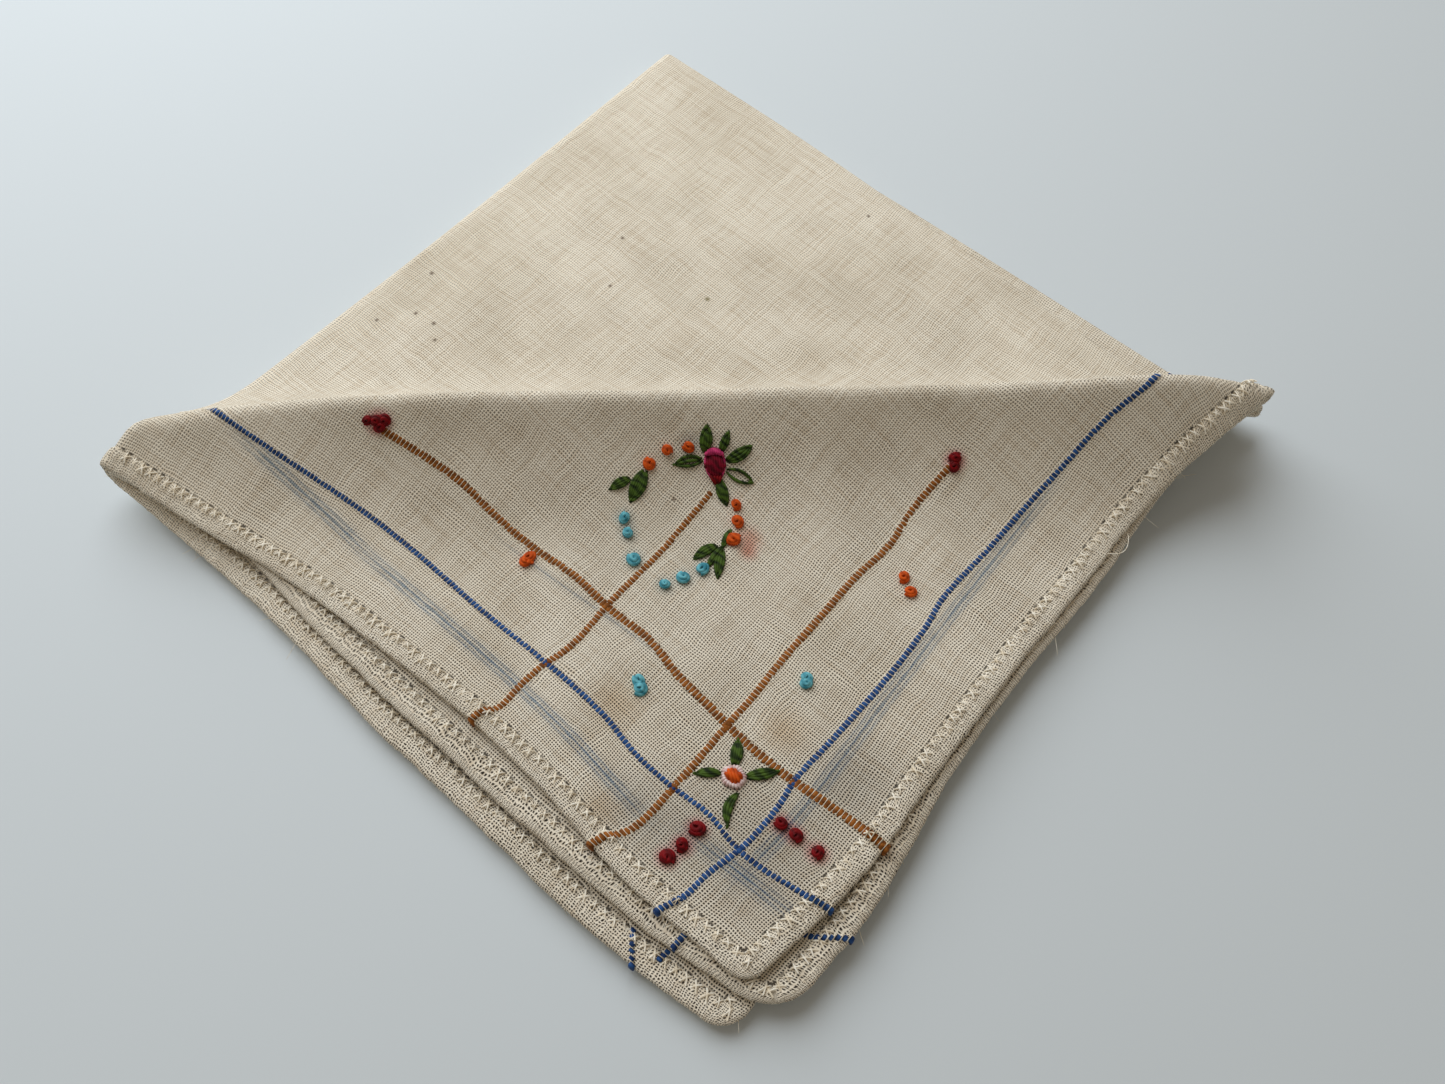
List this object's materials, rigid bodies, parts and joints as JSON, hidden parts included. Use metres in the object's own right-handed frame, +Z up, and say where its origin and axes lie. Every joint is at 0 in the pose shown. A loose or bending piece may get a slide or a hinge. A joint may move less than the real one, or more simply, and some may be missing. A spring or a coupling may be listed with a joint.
{
  "type": "folded linen handkerchief",
  "caption": "Embroidered linen handkerchief folded in four and laid as a diamond, with stepped hemmed corners and a soft ridge across it.",
  "frame": {"origin": "on the surface that it rests on, at the middle of the folded cloth's footprint", "axes": "+Z up out of the surface; +Y towards the doubly folded corner, the middle of the cloth; -Y towards the free hemmed corners; +X along the ridge towards the corner where the folded edges of two layer pairs lie apart"},
  "size_m": [0.1946, 0.1912, 0.0214],
  "materials": {
    "linen": "plain-woven unbleached linen, matt, with a rolled hem in pale thread and coloured drawn-thread lines and embroidery"
  },
  "bodies": {
    "root": {"handkerchief": "linen"}
  },
  "joints": []
}
